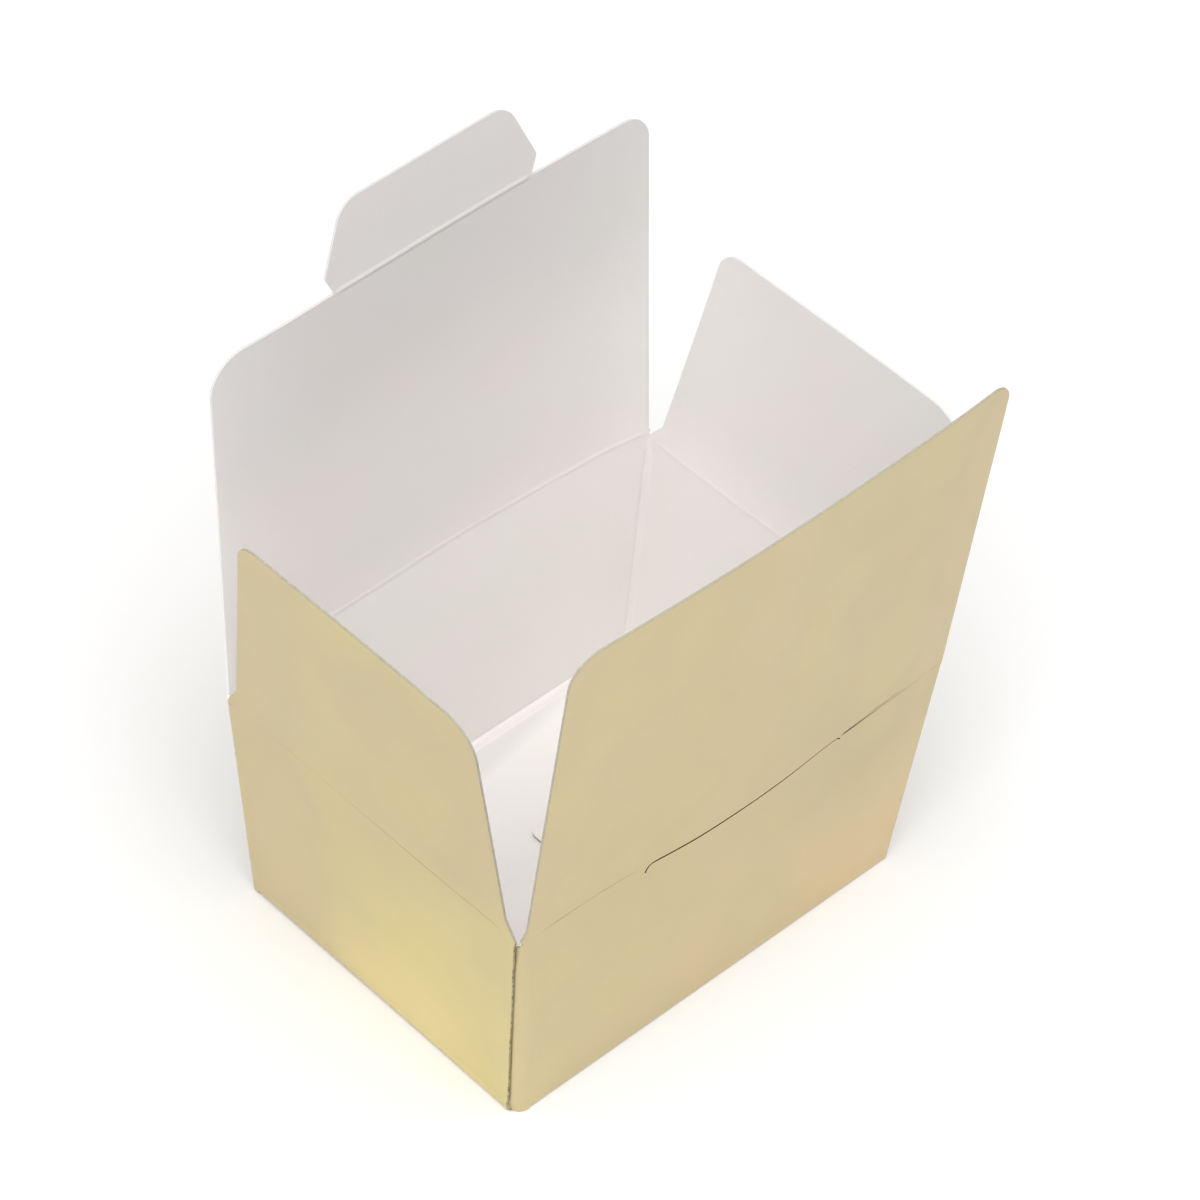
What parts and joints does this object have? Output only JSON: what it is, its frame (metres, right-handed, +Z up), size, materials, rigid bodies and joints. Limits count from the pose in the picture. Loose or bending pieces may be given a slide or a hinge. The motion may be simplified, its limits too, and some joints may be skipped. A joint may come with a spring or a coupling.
{
  "type": "folding candy box",
  "caption": "Tapered folding carton for chocolates, gold outside and white inside, standing open, with top flaps, a tuck tab and a crash-lock base.",
  "frame": {"origin": "centre of the underside of the base, on the surface the box stands on", "axes": "+X along the front wall towards the right, +Y from the front wall to the back wall, +Z up"},
  "size_m": [0.1216, 0.098, 0.1531],
  "materials": {
    "gold_board": "satin gold foil laminated to white cartonboard",
    "white_board": "matt uncoated white board"
  },
  "bodies": {
    "root": {"front_wall": "gold_board", "back_wall": "gold_board", "left_wall": "gold_board", "right_wall": "gold_board", "front_right_fold": "gold_board", "back_right_fold": "gold_board", "back_left_fold": "gold_board", "seam_fold": "gold_board", "seam_tab": "white_board", "front_base_fold": "gold_board", "back_base_fold": "gold_board", "left_base_fold": "gold_board", "right_base_fold": "gold_board", "front_base_flap": "white_board", "back_base_flap": "white_board", "front_base_glue_tab": "white_board", "back_base_glue_tab": "white_board", "left_base_flap": "white_board", "right_base_flap": "white_board", "front_crease_left": "gold_board", "front_crease_right": "gold_board", "back_crease": "gold_board", "left_crease": "gold_board", "right_crease": "gold_board"},
    "front_flap_body": {"front_flap": "gold_board"},
    "back_flap_body": {"back_flap": "gold_board", "tuck_crease": "gold_board"},
    "tuck_tab_body": {"tuck_tab": "gold_board"},
    "left_flap_body": {"left_flap": "gold_board"},
    "right_flap_body": {"right_flap": "gold_board"}
  },
  "joints": [
    {"name": "front_flap_hinge", "type": "hinge", "parent": "root", "child": "front_flap_body", "pos_m": [0, -0.0403, 0.0559], "axis": [-1, 0, 0], "range_deg": [-60, 95.03], "deforming": ["front_crease_left", "front_crease_right"]},
    {"name": "back_flap_hinge", "type": "hinge", "parent": "root", "child": "back_flap_body", "pos_m": [0, 0.04033, 0.05655], "axis": [1, 0, 0], "range_deg": [-15, 93], "deforming": ["back_crease"]},
    {"name": "tuck_tab_hinge", "type": "hinge", "parent": "back_flap_body", "child": "tuck_tab_body", "pos_m": [0, 0.04701, 0.13577], "axis": [1, 0, 0], "range_deg": [-20, 123], "deforming": ["tuck_crease"]},
    {"name": "left_flap_hinge", "type": "hinge", "parent": "root", "child": "left_flap_body", "pos_m": [-0.05469, 0, 0.05525], "axis": [0, 1, 0], "range_deg": [-60, 96.6], "deforming": ["left_crease"]},
    {"name": "right_flap_hinge", "type": "hinge", "parent": "root", "child": "right_flap_body", "pos_m": [0.05469, 0, 0.05525], "axis": [0, -1, 0], "range_deg": [-60, 95.9], "deforming": ["right_crease"]}
  ],
  "couplings": [
    {"joint": "tuck_tab_hinge", "follows": "back_flap_hinge", "ratio": 1.32}
  ]
}
